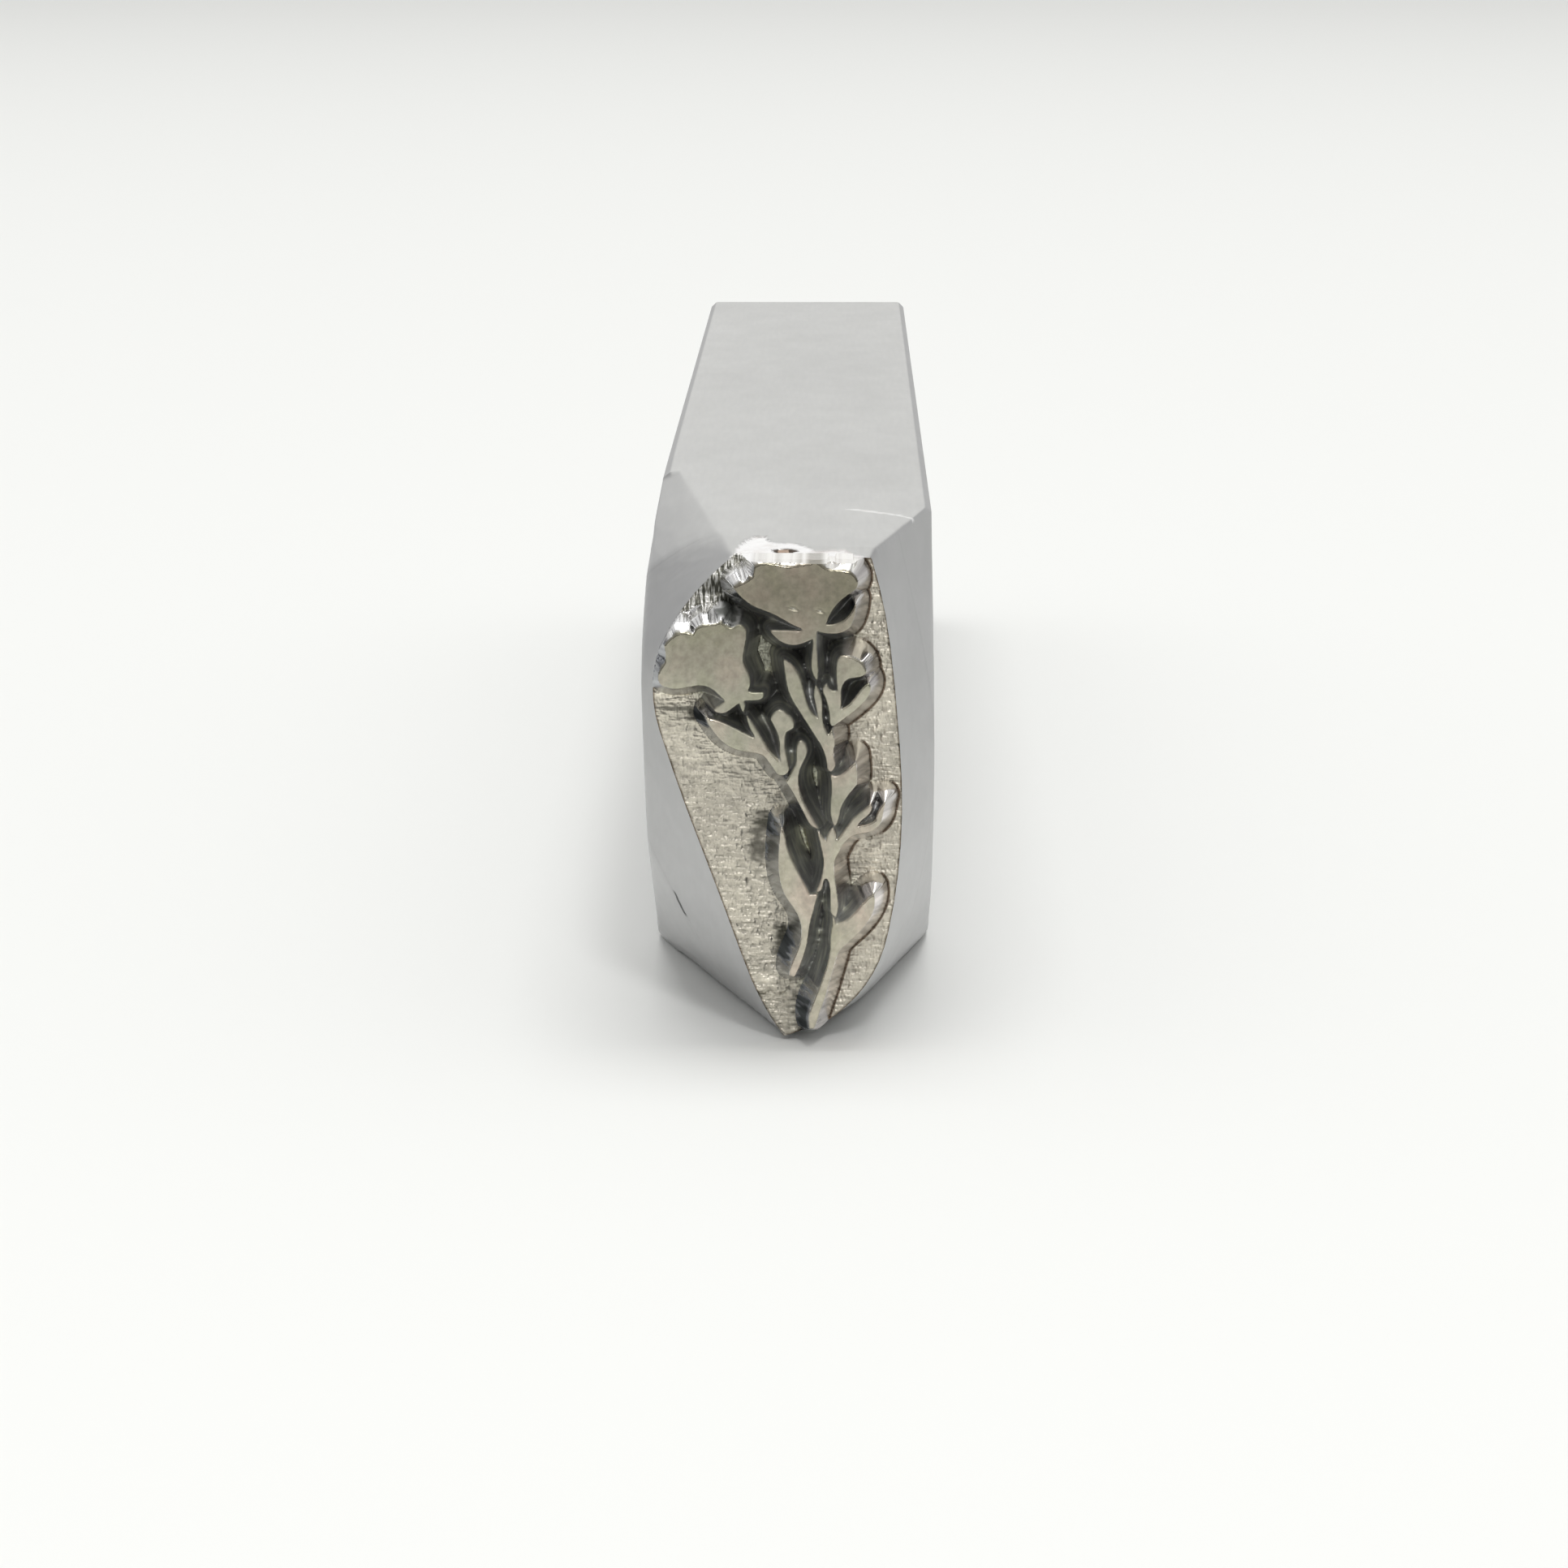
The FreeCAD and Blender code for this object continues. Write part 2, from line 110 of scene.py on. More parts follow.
def value_noise(x, z, seed):
    """Smooth noise from -1 to 1 on a unit lattice, the same on every run."""
    def corner(ix, iz):
        mixed = np.sin(ix * 127.1 + iz * 311.7 + seed * 74.7) * 43758.5453
        return 2.0 * (mixed - np.floor(mixed)) - 1.0
    ix, iz = np.floor(x), np.floor(z)
    fx, fz = x - ix, z - iz
    fx, fz = fx * fx * (3 - 2 * fx), fz * fz * (3 - 2 * fz)
    low = corner(ix, iz) * (1 - fx) + corner(ix + 1, iz) * fx
    high = corner(ix, iz + 1) * (1 - fx) + corner(ix + 1, iz + 1) * fx
    return low * (1 - fz) + high * fz


def layered_noise(x, z, layers):
    """Sum of noises, one for each (height, lattice cells per millimetre along x and along z, seed)."""
    return sum(height * value_noise(x * per_x, z * per_z, seed) for height, per_x, per_z, seed in layers)


def smooth_minimum(a, b, width):
    """The smaller of a and b, blended over the given width where they are close."""
    blend = np.clip(0.5 + 0.5 * (b - a) / width, 0.0, 1.0)
    return b * (1 - blend) + a * blend - width * blend * (1 - blend)


def smooth_step(low, high, x):
    """0 below low, 1 above high and a smooth rise between them. It falls where low is above high."""
    t = np.clip((x - low) / (high - low), 0.0, 1.0)
    return t * t * (3 - 2 * t)


# ---------------------------------------------------------------------------------------------------------
# The printing face, in millimetres

WALL_SLOPE = math.tan(math.radians(15.0))   # the cutter's draft
GRID = 0.0225                               # spacing of the height field
BORDER_SNAP = 0.4 * GRID                    # points this near the floor's border are moved onto it
FOOT_BLEND = 0.05                           # fillet that the cutter leaves at the foot of a wall
MARKS_START = 0.06                          # a wall's marks fade in over this much beside the outline
FLOOR_START = 0.8                           # share of the relief's depth at which the floor's marks start
PIECE_THICKNESS = 0.28                      # how far each piece of the face goes in behind the floor
CLOSING_REACH = 0.52                        # half the width of the widest gap that counts as a hollow
RIM_STEP = 0.045                            # spacing of the samples that find those hollows' rim
MEMORY_SLICES = 40                          # that search is done in slices, to save memory
CAP_WIDTH = 0.23                            # chamfer on the islands' upper edges, which catches the light
BROW_BAND = 0.12                            # height of the large bloom's upper border that climbs back
BROW_RISE, BROW_DEPTH = 0.06, 0.30          # how far up and back it climbs towards the top of the bar
BROW_TOP = 9.95                             # where it stops

# Marks as layers of noise: (height, lattice cells per millimetre along x and along z, seed).
WALL_MARKS = ((0.006, 9, 9, 1), (0.0035, 24, 24, 2))
TORN_SCALLOPS = ((0.045, 5, 5, 3), (0.020, 16, 16, 4))
FLOOR_RIPPLES = ((0.006, 1.6, 2.4, 5), (0.003, 2.6, 10, 6))
STEP_EDGE = ((0.10, 8, 2, 7),)
PATCH_EDGE = ((0.45, 3.5, 14, 8), (0.30, 11, 26, 9))
BROW_WOBBLE = ((0.02, 4, 1, 10),)
SPARKLE_BREAKS = ((1.0, 6, 6, 16),)

# The lowest left corner of the floor is cut a little deeper, up to a ragged step.
STEP_TOP, STEP_BLUR, STEP_DEPTH = 0.98, 0.04, 0.05
STEP_END = (0.05, -0.10)                    # where it fades in, from right to left
# Walls that the cutter left torn: above the first pair in z, left of the second in x, both as blends.
TORN_PLACES = (((8.35, 8.50), (-1.00, -1.15)), ((9.35, 9.45), (-0.68, -0.78)))

# Dull dark patches beside some walls: centre x and z, half width, half height, strength.
DARK_PATCHES = ((-1.66, 6.76, 0.34, 0.17, 1.0), (-2.15, 6.84, 0.50, 0.05, 0.7), (-0.45, 4.54, 0.30, 0.17, 1.0),
           (-0.60, 4.05, 0.20, 0.45, 0.8), (-0.12, 2.05, 0.20, 0.34, 1.0), (0.33, 0.72, 0.27, 0.50, 1.0),
           (-1.50, 9.30, 0.28, 0.17, 0.75), (-1.20, 8.92, 0.28, 0.30, 1.0))
# Burnished places on the floor, brighter than the rest, in the same form.
BURNISHED = ((-2.25, 7.12, 0.45, 0.16, 1.0), (-0.48, 1.28, 0.28, 0.16, 1.0),
             (-1.65, 5.85, 0.55, 0.40, 0.6), (1.55, 3.9, 0.30, 0.5, 0.6))
# Slanting dents in the large bloom's printing plane: centre x and z, half width, half height.
DENTS = ((0.10, 9.01, 0.10, 0.030), (0.63, 8.96, 0.08, 0.030))
DENT_DEPTH, DENT_SLANT = 0.045, 0.25

print_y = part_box("large_bloom")[0].y / MM
floor_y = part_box("milled_floor")[0].y / MM
relief_depth = floor_y - print_y
foot_reach = relief_depth * WALL_SLOPE


def chatter(x, z):
    """How rough the cutter left the walls: 1 on the upper outside walls of both blooms, 0 elsewhere."""
    small, large = (smooth_step(*above, z) * smooth_step(*left_of, x) for above, left_of in TORN_PLACES)
    return np.maximum(small, large)


def nearest_island(points):
    """For points (x, z): the nearest island's index, distance outside it and nearest outline point."""
    outside = np.full(len(points), np.inf)
    owner = np.zeros(len(points), int)
    foot = np.zeros((len(points), 2))
    for index, name in enumerate(ISLANDS):
        distance, nearest = signed_distance(points, outlines[name])
        closer = distance < outside
        outside[closer] = distance[closer]
        owner[closer] = index
        foot[closer] = nearest[closer]
    return owner, outside, foot


def face_depth(points, outside, foot, capped):
    """Depth behind the printing plane at points (x, z), with the cutter's marks.

    Where capped is 1 the wall starts as a chamfer of CAP_WIDTH, which faces up, and then drops."""
    x, z = points.T
    away = np.maximum(outside, 0.0)
    marks = layered_noise(*foot.T, WALL_MARKS) + chatter(x, z) * layered_noise(*foot.T, TORN_SCALLOPS)
    away = np.maximum(away + smooth_step(0.0, MARKS_START, away) * marks, 0.0)
    drop = (relief_depth - CAP_WIDTH) / (foot_reach - CAP_WIDTH)
    cap_depth = np.maximum(away, CAP_WIDTH + (away - CAP_WIDTH) * drop)
    wall_depth = away / WALL_SLOPE * (1 - capped) + cap_depth * capped
    depth = smooth_minimum(wall_depth, np.full(len(points), relief_depth), FOOT_BLEND)
    depth = np.where(outside <= 0.0, 0.0, np.maximum(depth, 0.0))
    on_floor = smooth_step(FLOOR_START * relief_depth, relief_depth, depth)
    ragged_z = z + layered_noise(x, z, STEP_EDGE)
    below_step = smooth_step(STEP_TOP + STEP_BLUR, STEP_TOP - STEP_BLUR, ragged_z)
    step = STEP_DEPTH * below_step * smooth_step(*STEP_END, x)
    depth = depth + on_floor * (layered_noise(x, z, FLOOR_RIPPLES) + step)
    for dent_x, dent_z, wide, high in DENTS:
        spread = ((x - dent_x) / wide) ** 2 + ((z - dent_z + DENT_SLANT * (x - dent_x)) / high) ** 2
        depth = depth + DENT_DEPTH * np.exp(-spread)
    return depth


def ragged_patches(points, patches):
    """How far inside the patches points (x, z) are, from 0 to 1, with edges ragged along x."""
    x, z = points.T
    ragged = layered_noise(x, z, PATCH_EDGE)
    cover = np.zeros(len(points))
    for centre_x, centre_z, wide, high, strength in patches:
        reach = np.sqrt(((x - centre_x) / wide) ** 2 + ((z - centre_z) / high) ** 2)
        cover = np.maximum(cover, strength * (1 - smooth_step(0.45, 1.35, reach + ragged)))
    return cover


outlines = {name: front_outline(name) for name in ISLANDS}
border = front_outline("milled_floor")


def enclosure(points, outside):
    """How deep inside the sprig's hollows points (x, z) are: 0 on the open floor, more between islands.

    A point is in a hollow where a disc of radius CLOSING_REACH that touches no island can't reach it."""
    low, high = points.min(0) - CLOSING_REACH, points.max(0) + CLOSING_REACH
    gx, gz = np.meshgrid(np.arange(low[0], high[0], RIM_STEP), np.arange(low[1], high[1], RIM_STEP))
    samples = np.column_stack([gx.ravel(), gz.ravel()])
    reach = nearest_island(samples)[1]
    rim = samples[np.abs(reach - CLOSING_REACH) < 0.5 * RIM_STEP]
    enclosed = np.zeros(len(points))
    for part in np.array_split(np.nonzero(outside < CLOSING_REACH)[0], MEMORY_SLICES):
        x, z = points[part].T
        square = (x[:, None] - rim[:, 0]) ** 2 + (z[:, None] - rim[:, 1]) ** 2
        enclosed[part] = np.sqrt(square.min(1)) - (CLOSING_REACH - np.maximum(outside[part], 0.0))
    return enclosed


def face_grid():
    """Grid points inside the floor's border, the cells between them and the points' distances from it."""
    low, high = border.reshape(-1, 2).min(0), border.reshape(-1, 2).max(0)
    columns, rows = (int(span / GRID) + 3 for span in high - low)
    gx, gz = np.meshgrid(low[0] + GRID * np.arange(-1, columns - 1),
                         low[1] + GRID * np.arange(-1, rows - 1))
    points = np.column_stack([gx.ravel(), gz.ravel()])
    distance, nearest = signed_distance(points, border)
    index = np.arange(rows * columns).reshape(rows, columns)
    cells = np.stack([index[:-1, :-1], index[:-1, 1:], index[1:, 1:], index[1:, :-1]], -1).reshape(-1, 4)
    cells = cells[(distance[cells] < 0).sum(1) >= 2]
    near = distance > -BORDER_SNAP
    points[near] = nearest[near]
    used = np.unique(cells)
    renumber = np.zeros(len(points), int)
    renumber[used] = np.arange(len(used))
    return points[used], renumber[cells], np.maximum(-distance[used], 0.0)


def snap_to_level(points, outside, away, level):
    """Moves the points that are within half a cell of a level of the distance onto that level."""
    offset = outside - level
    close = np.abs(offset) < 0.5 * GRID
    points[close] -= offset[close, None] * away[close]


def add_attribute(mesh, name, values):
    attribute = mesh.attributes.new(name, "FLOAT", "POINT")
    attribute.data.foreach_set("value", np.asarray(values, np.float32))


def add_vector_attribute(mesh, name, values):
    attribute = mesh.attributes.new(name, "FLOAT_VECTOR", "POINT")
    attribute.data.foreach_set("vector", np.asarray(values, np.float32).ravel())


def carry_back(bm, place):
    """Extrudes the open border of a sheet once and puts each new vertex where place(co) says."""
    border_edges = [edge for edge in bm.edges if edge.is_boundary]
    for edge in border_edges:
        edge.smooth = False
    made = bmesh.ops.extrude_edge_only(bm, edges=border_edges)["geom"]
    for item in made:
        if isinstance(item, bmesh.types.BMVert):
            item.co = place(item.co)
        elif isinstance(item, bmesh.types.BMFace):
            item.smooth = False


def close_behind(mesh, has_brow):
    """Closes an open sheet of the face: its border goes back to a hidden plane, which is filled.

    The large bloom's upper border first climbs to the top of the bar, as the wall of the real one does."""
    back_y = (floor_y + PIECE_THICKNESS) * MM
    bm = bmesh.new()
    bm.from_mesh(mesh)
    if has_brow:
        brow_z = border[:, :, 1].max() - BROW_BAND

        def climb(co):
            if co.z / MM < brow_z or co.y / MM > print_y + BROW_DEPTH:
                return co + Vector((0, HAIR * MM, 0))
            rise = BROW_RISE + float(layered_noise(np.array(co.x / MM), np.array(0.5), BROW_WOBBLE))
            return Vector((co.x, co.y + BROW_DEPTH * MM, min(co.z + rise * MM, BROW_TOP * MM)))
        carry_back(bm, climb)
    carry_back(bm, lambda co: Vector((co.x, back_y, co.z)))
    rim = [edge for edge in bm.edges if edge.is_boundary]
    filled = bmesh.ops.triangle_fill(bm, edges=rim, use_beauty=False)
    for face in (item for item in filled["geom"] if isinstance(item, bmesh.types.BMFace)):
        face.smooth = False
    bmesh.ops.recalc_face_normals(bm, faces=bm.faces)
    bm.to_mesh(mesh)
    bm.free()


def make_face_pieces():
    """One closed piece for the milled floor and one for each island with its walls."""
    points, cells, inset = face_grid()
    on_border = inset <= BORDER_SNAP
    for level in (0.0, foot_reach):
        _, outside, foot = nearest_island(points)
        away = (points - foot) / np.where(np.abs(outside) > 1e-6, outside, np.inf)[:, None]
        away[on_border] = 0.0
        snap_to_level(points, outside, away, level)

    owner, outside, foot = nearest_island(points)
    away = (points - foot) / np.maximum(np.abs(outside), 1e-6)[:, None]
    enclosed = enclosure(points, outside)
    facing_up = smooth_step(0.3, 0.7, away[:, 1])
    in_the_open = 1 - smooth_step(0.02, 0.15, enclosed)
    capped = facing_up * in_the_open * smooth_step(-0.5, 0.1, layered_noise(*foot.T, SPARKLE_BREAKS))
    depth = face_depth(points, outside, foot, capped)
    # dull dark patches beside some walls, on walls and floor only
    dark_patch = ragged_patches(points, DARK_PATCHES) * smooth_step(0.05, 0.3, depth)
    burnished = ragged_patches(points, BURNISHED)
    torn = chatter(*points.T)
    cell_outside = outside[cells].min(1)
    cell_owner = owner[cells[np.arange(len(cells)), outside[cells].argmin(1)]]
    floor_index = len(ISLANDS)
    cell_owner[cell_outside > foot_reach - 1e-4] = floor_index

    pieces = {}
    for index, name in enumerate(ISLANDS + ("milled_floor",)):
        own = cells[cell_owner == index]
        used = np.unique(own)
        renumber = np.zeros(len(points), int)
        renumber[used] = np.arange(len(used))
        vertices = np.column_stack([points[used, 0], print_y + depth[used], points[used, 1]]) * MM
        mesh = bpy.data.meshes.new(name + "_surface")
        mesh.from_pydata(vertices.tolist(), [], renumber[own].tolist())
        mesh.shade_smooth()
        for attribute_name, values in (("outside", outside), ("depth", depth), ("enclosed", enclosed),
                                       ("dark_patch", dark_patch), ("chatter", torn), ("inset", inset),
                                       ("burnished", burnished)):
            add_attribute(mesh, attribute_name, values[used])
        add_vector_attribute(mesh, "foot", np.column_stack([foot[used], outside[used]]))
        add_vector_attribute(mesh, "away", np.column_stack([away[used], np.zeros(len(used))]))
        close_behind(mesh, name == "large_bloom")
        piece = bpy.data.objects.new(name + "_surface", mesh)
        bpy.context.scene.collection.objects.link(piece)
        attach(piece, "root")
        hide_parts(name)
        pieces[name] = piece
    return pieces


# ---------------------------------------------------------------------------------------------------------
# The plated bar and its ground nose, in millimetres

CORNER_SPAN = 0.5      # length each side of a bar corner where the skin is finest
CORNER_STEP = 0.03
SIDE_STEP = 0.16
TOP_STEP = 0.06        # across the top, where the plating is worn
FRONT_SPAN = 3.6       # along the worn part of the nose
FRONT_STEP = 0.05
STATION_STEP = 0.14    # along the rest of the bevels
BAR_STATION = 4.0      # along the plain bar
RIDGE_ROUNDING = 4     # passes of smoothing over the ground ridges
END_CHAMFER = 0.6      # broken edge of the struck end
BEFORE_CHAMFER = (0.5, 0.2, 0.05, 0.0)                    # stations just before that edge
ALONG_CHAMFER = (0.05, 0.15, 0.30, 0.45, 0.55, 0.595)     # and along it
RAY_START = 20.0       # well outside the bar
FRONT_LAP = 0.25       # how far the nose's skin turns back behind the milled floor
FRONT_TURN = 0.02      # and inwards, as a share of the way to the middle
CREASE_ANGLE = math.radians(60)   # sharper edges than this aren't smoothed over

# Where the plating is worn off the top of the nose: (x, how far behind the milled floor) along the edge.
WORN_EDGE = ((-1.30, 0.0), (-1.09, 0.4), (-1.03, 1.2), (-0.88, 2.2), (-0.70, 2.75), (-0.50, 2.75),
             (-0.43, 1.9), (-0.27, 1.65), (0.15, 1.45), (0.34, 1.0), (0.54, 0.62), (0.81, 0.8),
             (1.11, 0.7), (1.38, 0.3), (1.60, 0.0))
WORN_RAGS = ((0.10, 4, 4, 11), (0.06, 12, 9, 12))
WORN_HILLS = ((0.5, 5, 3, 13),)
WORN_LAP, LAP_FALL = 0.35, 3.0              # keep the patch near the top: it fades out down the sides
WEAR_BASE, WEAR_HILLS = 0.010, 0.025        # depth of the patch, even and uneven
WEAR_SLOPE, WEAR_REACH = 0.022, 2.5         # how it deepens away from its edge, and how far in
# A faint rubbed line that crosses the top of the nose behind it: (x, how far behind the milled floor).
RUBBED_LINE = ((1.36, 7.35), (2.14, 6.50), (2.65, 5.60))
RUBBED_RAGS = ((0.4, 6, 6, 15),)
RUBBED_HALF, RUBBED_START, RUBBED_SHARE = 0.22, 0.3, 0.55   # half width, faded start, how bare it is
# The long pit in the worn patch: centre x and distance behind the milled floor, half width, half length.
PIT = (-0.10, 0.75, 0.26, 0.30)
PIT_DEPTH = 0.09
PIT_RAGS = ((0.2, 9, 9, 14),)

bar_low, bar_high = (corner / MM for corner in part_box("shank"))
nose_back_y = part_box("nose")[1].y / MM
bar_end_y = bar_high.y


def perimeter_directions():
    """Points round the bar's rectangle, close together at its corners, seen from the bar's axis."""
    half_x, half_z = bar_high.x, 0.5 * (bar_high.z - bar_low.z)
    corners = [Vector((-half_x, -half_z)), Vector((half_x, -half_z)), Vector((half_x, half_z)),
               Vector((-half_x, half_z))]
    top = 2
    directions = []
    for side, (start, end) in enumerate(zip(corners, corners[1:] + corners[:1])):
        length = (end - start).length
        fine = np.arange(0.0, CORNER_SPAN, CORNER_STEP)
        step = TOP_STEP if side == top else SIDE_STEP
        coarse = np.linspace(CORNER_SPAN, length - CORNER_SPAN, int((length - 2 * CORNER_SPAN) / step) + 1)
        for distance in np.concatenate([fine, coarse, length - fine[:0:-1]]):
            directions.append(start + (end - start) * (distance / length))
    return directions


def ring_at(tree, directions, y, centre_z):
    """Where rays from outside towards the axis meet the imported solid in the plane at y."""
    ring = []
    for direction in directions:
        ray = Vector((direction.x, 0.0, direction.y)).normalized()
        outer = Vector((0.0, y, centre_z)) + ray * RAY_START
        ring.append(tree.ray_cast(outer, -ray)[0])
    return ring


def blur_rings(rings):
    """Rounds the ridges: each point moves towards the mean of its neighbours round and along the skin."""
    moved = rings.copy()
    round_mean = 0.5 * (np.roll(rings, 1, axis=1) + np.roll(rings, -1, axis=1))
    moved[1:-1] = 0.5 * rings[1:-1] + 0.25 * round_mean[1:-1] + 0.125 * (rings[:-2] + rings[2:])
    moved[:, :, 1] = rings[:, :, 1]
    return moved


def worn(x, y, z):
    """How far inside the worn patch points are, in millimetres. Below 0 the plating is whole."""
    edge_x, edge_reach = np.array(WORN_EDGE).T
    behind = y - floor_y
    reach = np.interp(x, edge_x, edge_reach, left=-1.0, right=-1.0)
    inside = reach - behind + layered_noise(x, behind, WORN_RAGS)
    down_from_top = bar_high.z - z
    return np.minimum(inside, WORN_LAP - LAP_FALL * down_from_top)


def wear_down(rings):
    """The rings with the patch on top of the nose worn down and its pit pressed in, how bare and how
    pitted each of their points is."""
    x, y, z = np.moveaxis(rings, 2, 0)
    patch = smooth_step(-0.03, 0.06, worn(x, y, z))
    line_x, line_reach = np.array(RUBBED_LINE).T
    off_line = np.abs(y - floor_y - np.interp(x, line_x, line_reach)) / RUBBED_HALF
    before_line = np.maximum(line_x[0] - x, 0.0) / RUBBED_START
    ragged = layered_noise(x, y, RUBBED_RAGS)
    rubbed = RUBBED_SHARE * (1 - smooth_step(0.3, 1.0, off_line + before_line + ragged))
    hills = 0.5 + layered_noise(x, y, WORN_HILLS)
    pit_x, pit_behind, wide, long = PIT
    reach = np.sqrt(((x - pit_x) / wide) ** 2 + ((y - floor_y - pit_behind) / long) ** 2)
    pit = (1 - smooth_step(0.55, 1.0, reach + layered_noise(x, y, PIT_RAGS))) * patch
    lowered = rings.copy()
    slope = WEAR_SLOPE * np.clip(worn(x, y, z), 0.0, WEAR_REACH)
    lowered[1:, :, 2] -= (patch * (WEAR_BASE + WEAR_HILLS * hills + slope) + PIT_DEPTH * pit)[1:]
    on_top = bar_high.z - z < 0.05
    return lowered, np.maximum(patch, rubbed * on_top), pit


def make_skin(name, rings, front_lap):
    """A closed skin through the rings. With a front lap it starts turned in, behind the first ring."""
    rings = list(rings)
    if front_lap:
        turned = rings[0] + (rings[0].mean(0) - rings[0]) * FRONT_TURN
        turned[:, 1] = rings[0][:, 1] + front_lap
        rings.insert(0, turned)
    count = len(rings[0])
    vertices = np.clip(np.concatenate(rings), [bar_low.x, floor_y, bar_low.z], bar_high) * MM
    start = np.arange(count)
    following = (start + 1) % count
    faces = []
    for row in range(len(rings) - 1):
        base, above = row * count, (row + 1) * count
        corners = (base + start, base + following, above + following, above + start)
        faces += np.column_stack(corners).tolist()
    faces += [start[::-1].tolist(), ((len(rings) - 1) * count + start).tolist()]
    mesh = bpy.data.meshes.new(name)
    mesh.from_pydata(vertices.tolist(), [], faces)
    mesh.shade_smooth()
    bm = bmesh.new()
    bm.from_mesh(mesh)
    bmesh.ops.recalc_face_normals(bm, faces=bm.faces)
    bm.to_mesh(mesh)
    bm.free()
    mesh.set_sharp_from_angle(angle=CREASE_ANGLE)
    piece = bpy.data.objects.new(name, mesh)
    bpy.context.scene.collection.objects.link(piece)
    return piece


def border_distance(piece):
    """For each vertex of the nose, how far it is from the border of the milled floor."""
    co = np.array([v.co for v in piece.data.vertices]) / MM
    square = np.full(len(co), np.inf)
    for x, z in border.reshape(-1, 2):
        square = np.minimum(square, (co[:, 0] - x) ** 2 + (co[:, 2] - z) ** 2 + (co[:, 1] - floor_y) ** 2)
    return np.sqrt(square)


def make_bar_pieces():
    """The nose with its ground bevels, and the plain bar with its chamfered struck end."""
    vertices, triangles = [], []
    for name in ("milled_floor", "nose", "shank"):
        points, node_triangles = node_mesh(name)
        triangles += (node_triangles + len(vertices)).tolist()
        vertices += points.tolist()
    tree = BVHTree.FromPolygons(vertices, triangles)
    directions = perimeter_directions()
    centre_z = 0.5 * (bar_low.z + bar_high.z)

    nose_stations = np.concatenate([np.arange(floor_y + 3 * HAIR, floor_y + FRONT_SPAN, FRONT_STEP),
                                    np.arange(floor_y + FRONT_SPAN, nose_back_y, STATION_STEP)])
    chamfer_start = bar_end_y - END_CHAMFER - HAIR
    bar_stations = np.concatenate([
        np.arange(nose_back_y + 10 * HAIR, chamfer_start - 0.6, BAR_STATION),
        chamfer_start - np.array(BEFORE_CHAMFER),
        chamfer_start + np.array(ALONG_CHAMFER),
    ])
    stations = np.concatenate([nose_stations, bar_stations])
    rings = np.array([ring_at(tree, directions, y, centre_z) for y in stations])
    split = len(nose_stations)
    for _ in range(RIDGE_ROUNDING):
        rings = blur_rings(rings)
    bar_rings = rings[split:]
    nose_rings, patch, pit = wear_down(rings[:split + 1])

    nose = make_skin("nose_surface", nose_rings, FRONT_LAP)
    turned_ring = np.zeros(len(directions))
    add_attribute(nose.data, "worn", np.concatenate([turned_ring, patch.ravel()]))
    add_attribute(nose.data, "pit", np.concatenate([turned_ring, pit.ravel()]))
    add_attribute(nose.data, "border", border_distance(nose))
    bar = make_skin("shank_surface", bar_rings, 0.0)
    for piece, node, slot in ((nose, "nose", "plated_bevels"), (bar, "shank", "plated_bar")):
        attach(piece, "root")
        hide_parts(node)
    return nose, bar


# ---------------------------------------------------------------------------------------------------------
# Materials

WHITE = (1.0, 1.0, 1.0)
PER_MM = (1000, 1000, 1000)                 # turns places in metres into millimetres
PER_CM = (100, 100, 100)                    # and into centimetres

PLATING, PLATING_ROUGHNESS = (0.60, 0.60, 0.60), 0.44
PLATED_TOP = (0.91, 0.91, 0.885)            # multiplier for the plating where it faces up, lighter than the painted shade on the sides
BARE_SMOOTHNESS = 0.26                      # how much smoother the worn patch is than the plating
PIT_COLOUR = (0.12, 0.09, 0.07)
FLOOR_ROUGHNESS = 0.45
PATCH_BLACK = (0.17, 0.175, 0.165)
FOOT_SHADE = (0.26, 0.21, 0.18)                 # painted shade, dark brown, along the foot of some walls
NOSE_EDGE, FLOOR_EDGE = (0.16, 0.12, 0.09), (0.24, 0.20, 0.16)   # and where nose and floor meet

# Heights of the bumps, in metres.
GRAIN_HEIGHT = 0.000004
LINE_HEIGHT = 0.000058
PITS_HEIGHT = 0.00001
RIDGE_HEIGHT = 0.00002

# The scratch on the left bevel, in millimetres: x = -(offset + slope * z), near z = middle.
SCRATCH_SLOPE, SCRATCH_OFFSET, SCRATCH_MIDDLE = 0.5, 1.165, 2.16
SCRATCH_WANDER = 0.12


def new_material(name):
    """A new material with its nodes, its links and its Principled shader."""
    material = bpy.data.materials.new(name)
    material.use_nodes = True
    tree = material.node_tree
    return material, tree.nodes, tree.links, tree.nodes["Principled BSDF"]


def new_metal(name):
    """The same, with a shader that is a metal."""
    material, nodes, links, shader = new_material(name)
    shader.inputs["Metallic"].default_value = 1.0
    return material, nodes, links, shader


def add_node(nodes, kind, inputs=None, **settings):
    node = nodes.new(kind)
    for key, value in settings.items():
        setattr(node, key, value)
    for key, value in (inputs or {}).items():
        node.inputs[key].default_value = value
    return node


def attribute(nodes, name, output="Fac"):
    return add_node(nodes, "ShaderNodeAttribute", attribute_name=name).outputs[output]


def stretched(nodes, links, vector, scale):
    mapping = add_node(nodes, "ShaderNodeMapping", {"Scale": scale})
    links.new(vector, mapping.inputs["Vector"])
    return mapping.outputs["Vector"]


def scaled_position(nodes, links, scale):
    """Object coordinates in the row frame, stretched by the scale, in pattern units per metre."""
    return stretched(nodes, links, add_node(nodes, "ShaderNodeTexCoord").outputs["Object"], scale)


def split(nodes, links, vector):
    """The X, Y and Z of a vector."""
    node = add_node(nodes, "ShaderNodeSeparateXYZ")
    links.new(vector, node.inputs[0])
    return node.outputs


def height_above_table(nodes, links):
    """Height in centimetres, which runs from 0 to 1 over the punch."""
    return split(nodes, links, scaled_position(nodes, links, PER_CM))["Z"]


